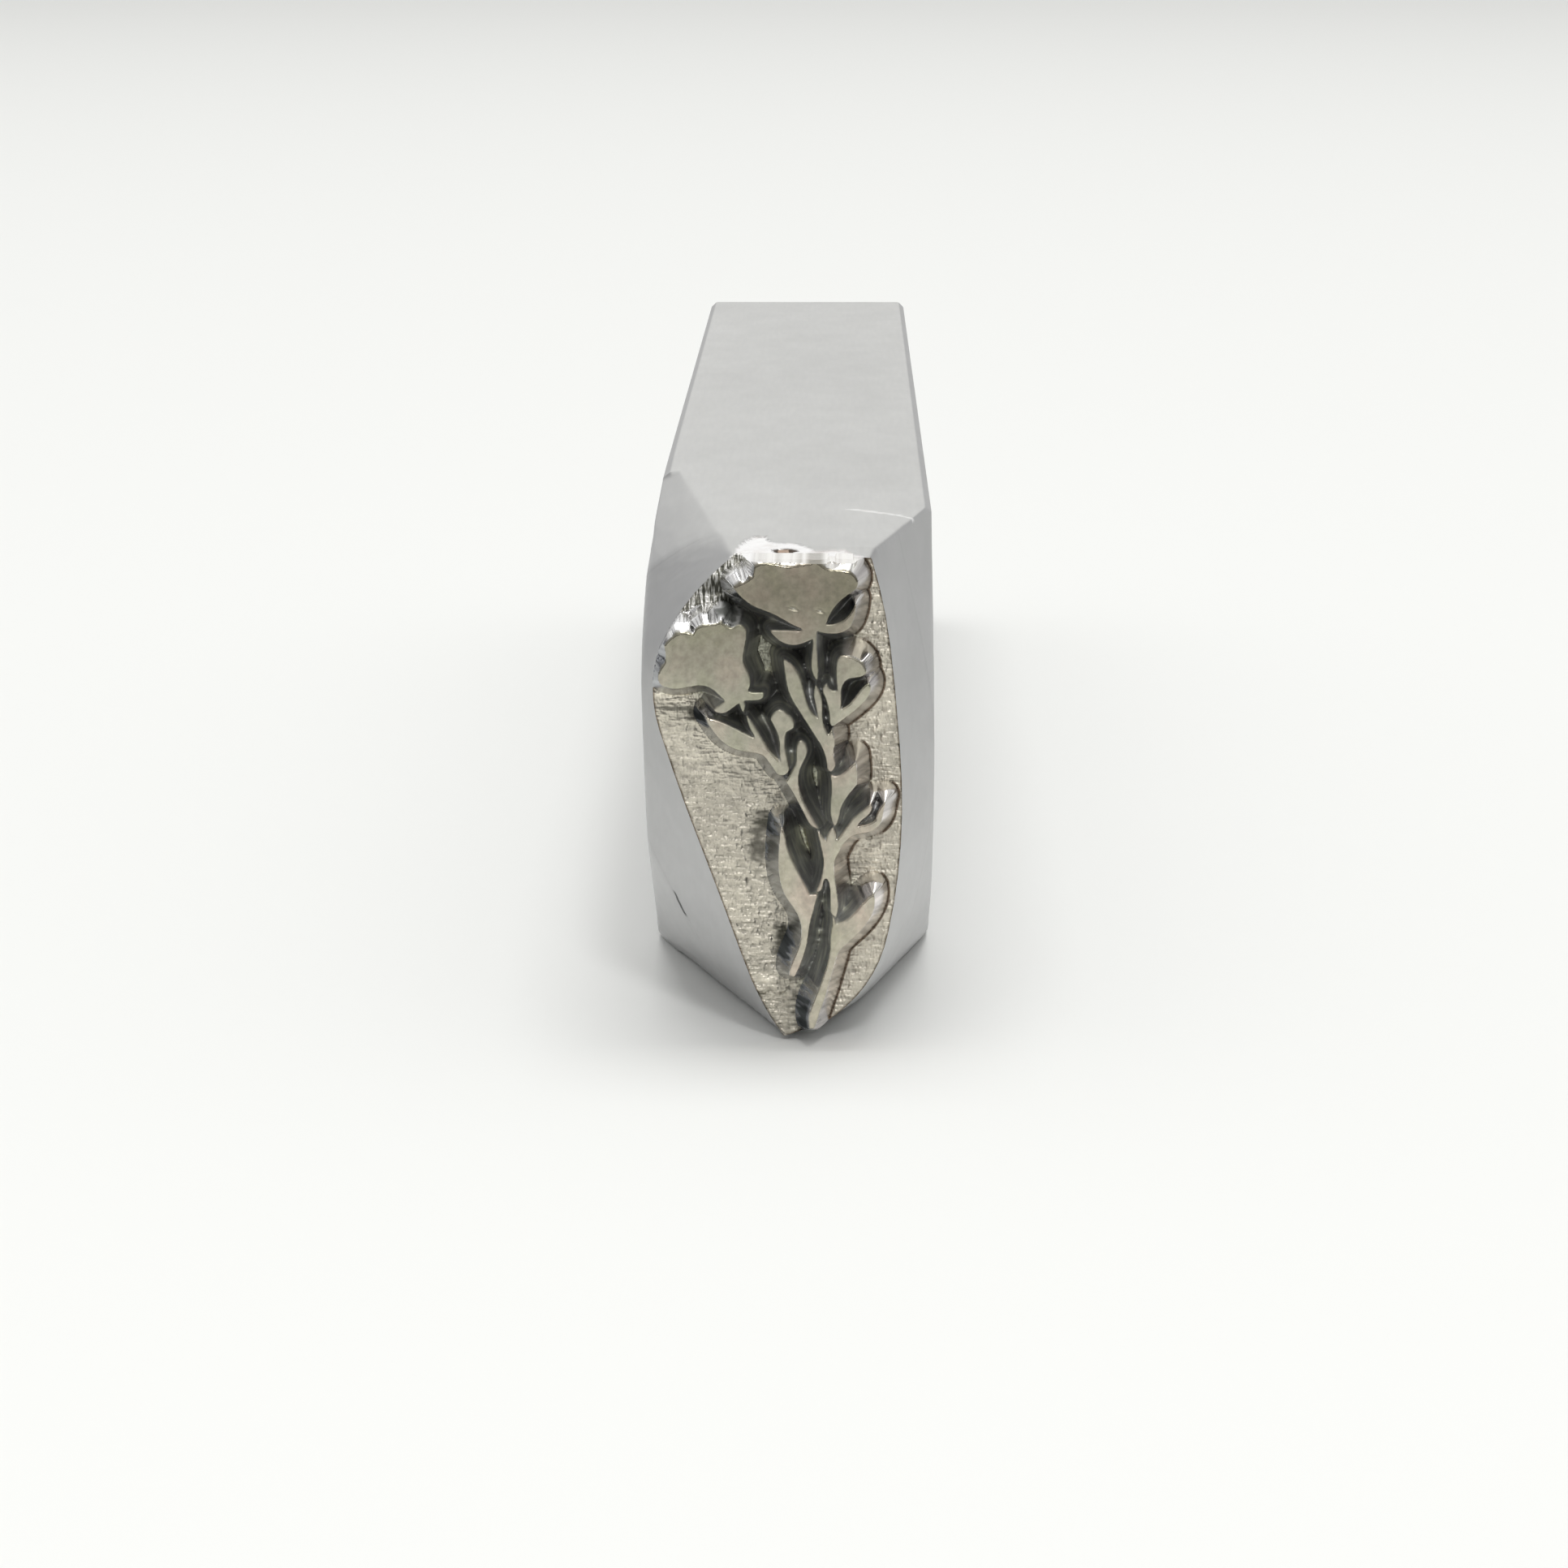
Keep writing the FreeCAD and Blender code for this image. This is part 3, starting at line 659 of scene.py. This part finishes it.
def noise_on(nodes, links, vector, detail=2.0, rough=0.5):
    texture = add_node(nodes, "ShaderNodeTexNoise", {"Scale": 1.0, "Detail": detail, "Roughness": rough})
    links.new(vector, texture.inputs["Vector"])
    return texture.outputs["Fac"]


def noise_at(nodes, links, scale, detail=2.0, rough=0.5):
    """Noise in the row frame, in pattern units per metre."""
    return noise_on(nodes, links, scaled_position(nodes, links, scale), detail, rough)


def wall_streaks(nodes, links, scale):
    """Noise placed by the nearest outline point and the distance from it, so that it follows the walls."""
    return noise_on(nodes, links, stretched(nodes, links, attribute(nodes, "foot", "Vector"), scale))


def ramp(nodes, links, value, stops):
    """A colour ramp: stops are (position, grey or colour)."""
    node = add_node(nodes, "ShaderNodeValToRGB")
    elements = node.color_ramp.elements
    while len(elements) < len(stops):
        elements.new(0.5)
    for element, (position, colour) in zip(elements, stops):
        if isinstance(colour, (int, float)):
            colour = (colour, colour, colour)
        element.position = position
        element.color = (*colour, 1.0)
    links.new(value, node.inputs["Fac"])
    return node.outputs["Color"]


def math_node(nodes, links, operation, *values):
    """A calculation with one to three values, each a number or a socket."""
    node = add_node(nodes, "ShaderNodeMath", operation=operation)
    for socket, value in zip(node.inputs, values):
        if isinstance(value, (int, float)):
            socket.default_value = value
        else:
            links.new(value, socket)
    return node.outputs[0]


def unit_range(nodes, links, value):
    """Turns a value from -1 to 1 into one from 0 to 1."""
    return math_node(nodes, links, "MULTIPLY_ADD", value, 0.5, 0.5)


def mix(nodes, links, kind, factor, first, second):
    """Mixes two colours: kind is a blend type such as MIX or MULTIPLY."""
    node = add_node(nodes, "ShaderNodeMix", data_type="RGBA", blend_type=kind)
    sockets = {s.identifier: s for s in node.inputs}
    for key, value in (("Factor_Float", factor), ("A_Color", first), ("B_Color", second)):
        if isinstance(value, (int, float)):
            sockets[key].default_value = value
        elif isinstance(value, tuple):
            sockets[key].default_value = (*value, 1.0)
        else:
            links.new(value, sockets[key])
    return next(s for s in node.outputs if s.identifier == "Result_Color")


def multiply(nodes, links, colour, *multipliers):
    for multiplier in multipliers:
        colour = mix(nodes, links, "MULTIPLY", 1.0, colour, multiplier)
    return colour


def toned(nodes, links, colour, value, stops, strength=1.0):
    """The colour multiplied by a ramp on the value."""
    return mix(nodes, links, "MULTIPLY", strength, colour, ramp(nodes, links, value, stops))


def bump(nodes, links, height, strength, distance, normal=None):
    node = add_node(nodes, "ShaderNodeBump", {"Strength": strength, "Distance": distance})
    links.new(height, node.inputs["Height"])
    if normal is not None:
        links.new(normal, node.inputs["Normal"])
    return node.outputs["Normal"]


def painted_side_shade(nodes, links):
    """Multiplier of painted shade for the plating: darker on the sides, and more so towards their tops,
    than where it faces up.
    """
    sides = ramp(nodes, links, height_above_table(nodes, links), ((0.30, 0.84), (0.90, 0.64)))
    normal = split(nodes, links, add_node(nodes, "ShaderNodeNewGeometry").outputs["Normal"])
    is_top = ramp(nodes, links, normal["Z"], ((0.80, 0.0), (0.98, 1.0)))
    return mix(nodes, links, "MIX", is_top, sides, PLATED_TOP)


def scratch(nodes, links):
    """Multiplier that is dark along a fine slanting scratch low on the left bevel."""
    place = split(nodes, links, scaled_position(nodes, links, PER_MM))
    across = math_node(nodes, links, "MULTIPLY_ADD", place["Z"], SCRATCH_SLOPE, place["X"])
    wavy = math_node(nodes, links, "MULTIPLY_ADD", noise_at(nodes, links, (2500, 100, 2500)),
                     SCRATCH_WANDER, across)
    from_line = math_node(nodes, links, "ADD", wavy, SCRATCH_OFFSET)
    from_middle = math_node(nodes, links, "SUBTRACT", place["Z"], SCRATCH_MIDDLE)
    beside = ramp(nodes, links, math_node(nodes, links, "ABSOLUTE", from_line),
                  ((0.014, 0.0), (0.034, 1.0)))
    beyond = ramp(nodes, links, math_node(nodes, links, "ABSOLUTE", from_middle),
                  ((0.22, 0.0), (0.30, 1.0)))
    clear = math_node(nodes, links, "MAXIMUM", beside, beyond)
    return ramp(nodes, links, clear, ((0.0, 0.10), (1.0, 1.0)))


def edge_line(nodes, links, distance_name, wander, stops):
    """Multiplier that is dark along an edge: a ramp on the distance from it, which wanders a little."""
    ragged = math_node(nodes, links, "MULTIPLY_ADD", noise_at(nodes, links, (5000, 5000, 5000)), wander,
                       attribute(nodes, distance_name))
    return ramp(nodes, links, ragged, stops)


def painted_foot_shade(nodes, links):
    """Multiplier of painted shade: dark brown in a thin band at the foot of walls that face +X, where no
    groove is modelled.
    """
    off_foot_line = ramp(nodes, links, attribute(nodes, "outside"),
                      ((foot_reach - 0.02, 1.0), (foot_reach, 0.0),
                       (foot_reach + 0.025, 0.0), (foot_reach + 0.045, 1.0)))
    away = split(nodes, links, attribute(nodes, "away", "Vector"))
    to_right = ramp(nodes, links, away["X"], ((0.3, 0.0), (0.6, 1.0)))
    dark = mix(nodes, links, "MIX", off_foot_line, FOOT_SHADE, WHITE)
    return mix(nodes, links, "MIX", to_right, WHITE, dark)


def blacken(nodes, links, shader, base):
    """Gives the shader its base colour, and in the dark patches a dull black that doesn't mirror."""
    dark_patch = attribute(nodes, "dark_patch")
    covered = toned(nodes, links, base, dark_patch, ((0.0, WHITE), (1.0, PATCH_BLACK)))
    links.new(covered, shader.inputs["Base Color"])
    links.new(ramp(nodes, links, dark_patch, ((0.1, 1.0), (0.6, 0.0))), shader.inputs["Metallic"])
    shader.inputs["Specular IOR Level"].default_value = 0.0


def painted_hollow_shade(nodes, links, colour, tint):
    """Painted shade in the sprig's hollows: turns the colour into dull grey there, streaked lengthwise and
    paler lower down.
    """
    shade = ramp(nodes, links, wall_streaks(nodes, links, (1.6, 1.6, 22)),
                 ((0.38, (0.43, 0.43, 0.43)), (0.54, (0.57, 0.573, 0.565)), (0.64, (0.74, 0.74, 0.69))))
    # painted shade: darker higher up, paler lower down
    shade = toned(nodes, links, shade, height_above_table(nodes, links),
                  ((0.12, 1.45), (0.35, 1.05), (0.72, 0.82)))
    shade = multiply(nodes, links, shade, tint)
    inside = ramp(nodes, links, attribute(nodes, "enclosed"), ((0.03, 0.0), (0.35, 1.0)))
    return mix(nodes, links, "MIX", inside, colour, shade)


def plated_steel(name, is_nose):
    """Satin plating with fine grinding lines. The nose also has marks, see mark_nose."""
    material, nodes, links, shader = new_metal(name)
    cloud = noise_at(nodes, links, (180, 60, 180), 3.0)
    grain = noise_at(nodes, links, (9000, 700, 2600))
    blotch = noise_at(nodes, links, (900, 350, 900), 4.0, 0.6)
    tone = toned(nodes, links, PLATING, cloud, ((0.3, 0.94), (0.7, 1.04)))
    for pattern in (grain, blotch):
        tone = toned(nodes, links, tone, pattern, ((0.35, 0.93), (0.65, 1.05)), 0.5)
    # painted shade: the sides of the plating darker, more so towards their tops
    tone = multiply(nodes, links, tone, painted_side_shade(nodes, links))
    rough = math_node(nodes, links, "MULTIPLY_ADD", grain, 0.10, PLATING_ROUGHNESS - 0.05)
    if is_nose:
        tone, rough = mark_nose(nodes, links, tone, rough)
    links.new(tone, shader.inputs["Base Color"])
    links.new(rough, shader.inputs["Roughness"])
    links.new(bump(nodes, links, grain, 0.25, GRAIN_HEIGHT), shader.inputs["Normal"])
    return material


def mark_nose(nodes, links, tone, rough):
    """Adds the dark line where the plating ends, the scratch and the worn, bare patch with its pit."""
    line = edge_line(nodes, links, "border", 0.03, ((0.025, NOSE_EDGE), (0.06, WHITE)))
    tone = multiply(nodes, links, tone, line, scratch(nodes, links))
    bare = attribute(nodes, "worn")
    shine = ramp(nodes, links, noise_at(nodes, links, (1800, 900, 1800), 3.0),
                 ((0.32, (0.80, 0.75, 0.72)), (0.5, (0.97, 0.96, 0.95))))
    tone = mix(nodes, links, "MIX", bare, tone, shine)
    in_pit = ramp(nodes, links, attribute(nodes, "pit"), ((0.03, 0.0), (0.25, 1.0)))
    tone = mix(nodes, links, "MIX", in_pit, tone, PIT_COLOUR)
    return tone, math_node(nodes, links, "MULTIPLY_ADD", bare, -BARE_SMOOTHNESS, rough)


def bare_floor():
    """Bare milled steel: embossed cutter lines, mottling, pits, dark edges, torn places and dull dark
    patches, with painted shade in the hollows and along the foot of walls that face +X.
    """
    material, nodes, links, shader = new_metal("bare_milled_floor")
    lines = noise_at(nodes, links, (3000, 3000, 13000), 1.5)
    weave = noise_at(nodes, links, (11000, 3200, 7500), 1.5)
    pits = noise_at(nodes, links, (4200, 4200, 6500), 1.0)
    base = ramp(nodes, links, noise_at(nodes, links, (900, 900, 1300), 3.0),
                ((0.3, (0.63, 0.59, 0.505)), (0.7, (0.73, 0.685, 0.58))))
    for value, strength, stops in (
            (lines, 0.7, ((0.34, 0.76), (0.5, 1.0), (0.66, 1.16))),
            (weave, 0.5, ((0.34, 0.70), (0.5, 1.0), (0.66, 1.12))),
            (pits, 1.0, ((0.20, 0.35), (0.27, 1.0))),
            (noise_at(nodes, links, (330, 330, 450), 1.0), 1.0, ((0.35, 0.87), (0.65, 1.0))),
            (attribute(nodes, "burnished"), 1.0, ((0.0, 1.0), (1.0, 1.4)))):
        base = toned(nodes, links, base, value, stops, strength)
    edge = edge_line(nodes, links, "inset", 0.06, ((0.035, FLOOR_EDGE), (0.075, WHITE)))
    # painted shade along the foot of walls that face +X, and the dark border line
    base = multiply(nodes, links, base, painted_foot_shade(nodes, links), edge)
    # painted shade in the hollows, tinted a little yellow
    base = painted_hollow_shade(nodes, links, base, (1.2, 1.2, 0.99))
    torn = ramp(nodes, links, noise_at(nodes, links, (26000, 3000, 4000)),
                ((0.40, (0.13, 0.13, 0.11)), (0.50, (0.36, 0.35, 0.30)), (0.57, (0.97, 0.96, 0.93))))
    base = mix(nodes, links, "MIX", attribute(nodes, "chatter"), base, torn)
    blacken(nodes, links, shader, base)
    shader.inputs["Roughness"].default_value = FLOOR_ROUGHNESS
    normal = bump(nodes, links, lines, 1.0, LINE_HEIGHT)
    normal = bump(nodes, links, weave, 1.0, LINE_HEIGHT, normal)
    normal = bump(nodes, links, pits, 0.5, PITS_HEIGHT, normal)
    links.new(normal, shader.inputs["Normal"])
    return material


def printing_plane(nodes, links, height):
    """Colour of the sprig's smooth tops, with painted shade that makes them darker towards the top of the
    punch.
    """
    # painted shade: the ramp on height darkens the tops higher up
    tops = ramp(nodes, links, height, ((0.35, (0.54, 0.50, 0.41)), (0.52, (0.45, 0.43, 0.35)),
                                       (0.72, (0.45, 0.43, 0.35)), (0.92, (0.28, 0.255, 0.20))))
    tops = toned(nodes, links, tops, noise_at(nodes, links, (1500, 1500, 1200), 3.0),
                 ((0.30, (0.90, 0.93, 0.87)), (0.5, WHITE), (0.70, (1.10, 1.02, 1.04))))
    return toned(nodes, links, tops, noise_at(nodes, links, (9000, 9000, 9000)),
                 ((0.3, 0.80), (0.7, 1.14)), 0.8)


def relief_walls(nodes, links, height, fine_streak, torn):
    """Colour of the sprig's walls: painted shade makes them darker where they face left and higher up, a
    painted highlight makes the caps, which face up, bright, and torn places are bright too.
    """
    away = split(nodes, links, attribute(nodes, "away", "Vector"))
    streak = wall_streaks(nodes, links, (7, 7, 0.5))
    # painted shade and light: walls that face left darker, walls that face right lighter
    walls = ramp(nodes, links, unit_range(nodes, links, away["X"]),
                 ((0.15, (0.32, 0.335, 0.36)), (0.5, (0.52, 0.52, 0.52)), (0.85, (0.66, 0.62, 0.60))))
    walls = toned(nodes, links, walls, streak, ((0.35, 0.50), (0.60, 1.25)), 0.9)
    # painted shade: darker higher up
    walls = toned(nodes, links, walls, height, ((0.2, 1.12), (0.52, 0.95), (0.75, 0.52)))
    # painted highlight: walls that face up get a near white colour
    faces_up = ramp(nodes, links, away["Y"], ((0.55, 0.0), (0.9, 1.0)))
    cap_highlight = ramp(nodes, links, streak,
               ((0.30, (0.68, 0.64, 0.60)), (0.5, (0.92, 0.90, 0.86)), (0.7, (0.99, 0.97, 0.91))))
    walls = mix(nodes, links, "MIX", faces_up, walls, cap_highlight)
    silver = ramp(nodes, links, fine_streak,
                  ((0.36, (0.42, 0.41, 0.40)), (0.46, (0.88, 0.88, 0.88)), (0.62, (0.98, 0.97, 0.96))))
    walls = mix(nodes, links, "MIX", torn, walls, silver)
    # painted shade in the hollows
    walls = painted_hollow_shade(nodes, links, walls, (1.0, 1.0, 0.98))
    # painted shade along the foot of walls that face +X
    return multiply(nodes, links, walls, painted_foot_shade(nodes, links))


def bare_relief():
    """Bare steel of the sprig: a smooth printing plane and walls with tool streaks."""
    material, nodes, links, shader = new_metal("bare_relief")
    height = height_above_table(nodes, links)
    fine_streak = wall_streaks(nodes, links, (30, 30, 2))
    torn = attribute(nodes, "chatter")
    tops = printing_plane(nodes, links, height)
    walls = relief_walls(nodes, links, height, fine_streak, torn)
    on_wall = ramp(nodes, links, attribute(nodes, "depth"), ((0.02, 0.0), (0.08, 1.0)))
    blacken(nodes, links, shader, mix(nodes, links, "MIX", on_wall, tops, walls))
    rough = ramp(nodes, links, attribute(nodes, "enclosed"), ((0.03, 0.22), (0.35, 0.40)))
    links.new(rough, shader.inputs["Roughness"])

    normal = bump(nodes, links, noise_at(nodes, links, (7000, 7000, 7000)), 0.15, GRAIN_HEIGHT)
    torn_streak = math_node(nodes, links, "MULTIPLY", fine_streak, torn)
    ridges = math_node(nodes, links, "MULTIPLY", torn_streak, on_wall)
    normal = bump(nodes, links, ridges, 0.9, RIDGE_HEIGHT, normal)
    links.new(normal, shader.inputs["Normal"])
    return material


# ---------------------------------------------------------------------------------------------------------
# Studio: table, world, lamps and camera

TABLE_HALF = 3.0       # metres
TABLE_COLOUR, TABLE_ROUGHNESS, TABLE_SHEEN = (0.86, 0.865, 0.845, 1.0), 0.9, 0.1

# Lamps in metres and watts: name, place, target, size, power.
LAMPS = (("overhead_softbox", (0.0, 0.14, 0.9), (0.0, 0.0, 0.0), (0.6, 0.6), 3.5),
         ("back_softbox", (0.0, 0.9, 0.5), (0.0, 0.0, 0.0), (0.6, 0.45), 0.2),
         ("front_lamp", (0.06, -0.45, 0.37), (0.0, -0.03, 0.0), (0.05, 0.10), 0.7))

# The camera looks slightly down at the face. Its place, in millimetres, is right of the punch's middle,
# in front of the printing plane and above the table.
CAMERA_RIGHT, CAMERA_BEFORE, CAMERA_UP = 1.02, 109.4, 23.78
CAMERA_PITCH, CAMERA_YAW = math.radians(-9.5), math.atan(0.0101)
LENS, SENSOR_WIDTH = 127.4, 36.0            # in millimetres
CLIP_START, CLIP_END = 0.01, 20.0           # in metres


def make_floor():
    """A plain pale table top."""
    mesh = bpy.data.meshes.new("table_top")
    corners = [(x * TABLE_HALF, y * TABLE_HALF, 0) for x, y in ((-1, -1), (1, -1), (1, 1), (-1, 1))]
    mesh.from_pydata(corners, [], [(0, 1, 2, 3)])
    floor = bpy.data.objects.new("table_top", mesh)
    bpy.context.scene.collection.objects.link(floor)
    material, _, _, shader = new_material("pale_table")
    shader.inputs["Base Color"].default_value = TABLE_COLOUR
    shader.inputs["Roughness"].default_value = TABLE_ROUGHNESS
    shader.inputs["Specular IOR Level"].default_value = TABLE_SHEEN
    mesh.materials.append(material)


def make_world():
    """A pale room, brighter overhead and behind the punch, dimmer at the sides and in front."""
    world = bpy.data.worlds.new("studio")
    bpy.context.scene.world = world
    world.use_nodes = True
    nodes, links = world.node_tree.nodes, world.node_tree.links
    towards = split(nodes, links, add_node(nodes, "ShaderNodeTexCoord").outputs["Generated"])
    from_front = unit_range(nodes, links, towards["Y"])
    walls = ramp(nodes, links, from_front, ((0.0, (0.33, 0.32, 0.30)), (0.5, (0.26, 0.27, 0.28)),
                                            (0.75, (0.45, 0.46, 0.47)), (0.95, (1.0, 1.0, 0.99))))
    height = ramp(nodes, links, towards["Z"], ((0.18, 0.0), (0.38, 1.0)))
    low_sky = ramp(nodes, links, from_front, ((0.4, (0.36, 0.36, 0.37)), (0.9, (0.68, 0.68, 0.68))))
    upwards = ramp(nodes, links, towards["Z"], ((0.36, 0.0), (0.85, 1.0)))
    sky = mix(nodes, links, "MIX", upwards, low_sky, (0.70, 0.70, 0.69))
    room = mix(nodes, links, "MIX", height, walls, sky)
    links.new(room, nodes["Background"].inputs["Color"])
    nodes["Background"].inputs["Strength"].default_value = 1.0


def add_area(name, place, target, size, power):
    """A rectangular lamp that points at the target."""
    light = bpy.data.lights.new(name, "AREA")
    light.shape = "RECTANGLE"
    light.size, light.size_y = size
    light.energy = power
    lamp = bpy.data.objects.new(name, light)
    lamp.location = place
    lamp.rotation_euler = (Vector(target) - Vector(place)).to_track_quat("-Z", "Y").to_euler()
    bpy.context.scene.collection.objects.link(lamp)


def make_camera():
    level, climb = math.cos(CAMERA_PITCH), math.sin(CAMERA_PITCH)
    forward = Vector((-math.sin(CAMERA_YAW) * level, math.cos(CAMERA_YAW) * level, climb))
    right = Vector((math.cos(CAMERA_YAW), math.sin(CAMERA_YAW), 0.0))
    up = right.cross(forward)
    data = bpy.data.cameras.new("camera")
    data.sensor_width = SENSOR_WIDTH
    data.lens = LENS
    data.clip_start = CLIP_START
    data.clip_end = CLIP_END
    camera = bpy.data.objects.new("camera", data)
    place = Vector((CAMERA_RIGHT, print_y - CAMERA_BEFORE, CAMERA_UP)) * MM
    turned = Matrix((right, up, -forward)).transposed().to_4x4()
    camera.matrix_world = Matrix.Translation(place) @ turned
    bpy.context.scene.collection.objects.link(camera)
    bpy.context.scene.camera = camera


bpy.context.scene.view_settings.view_transform = "Standard"
make_camera()
make_floor()
make_world()
for lamp_settings in LAMPS:
    add_area(*lamp_settings)

face_pieces = make_face_pieces()
nose, bar = make_bar_pieces()
floor_steel, relief_steel = bare_floor(), bare_relief()
for name, piece in face_pieces.items():
    piece.data.materials.append(floor_steel if name == "milled_floor" else relief_steel)
nose.data.materials.append(plated_steel("plated_bevels", True))
bar.data.materials.append(plated_steel("plated_bar", False))
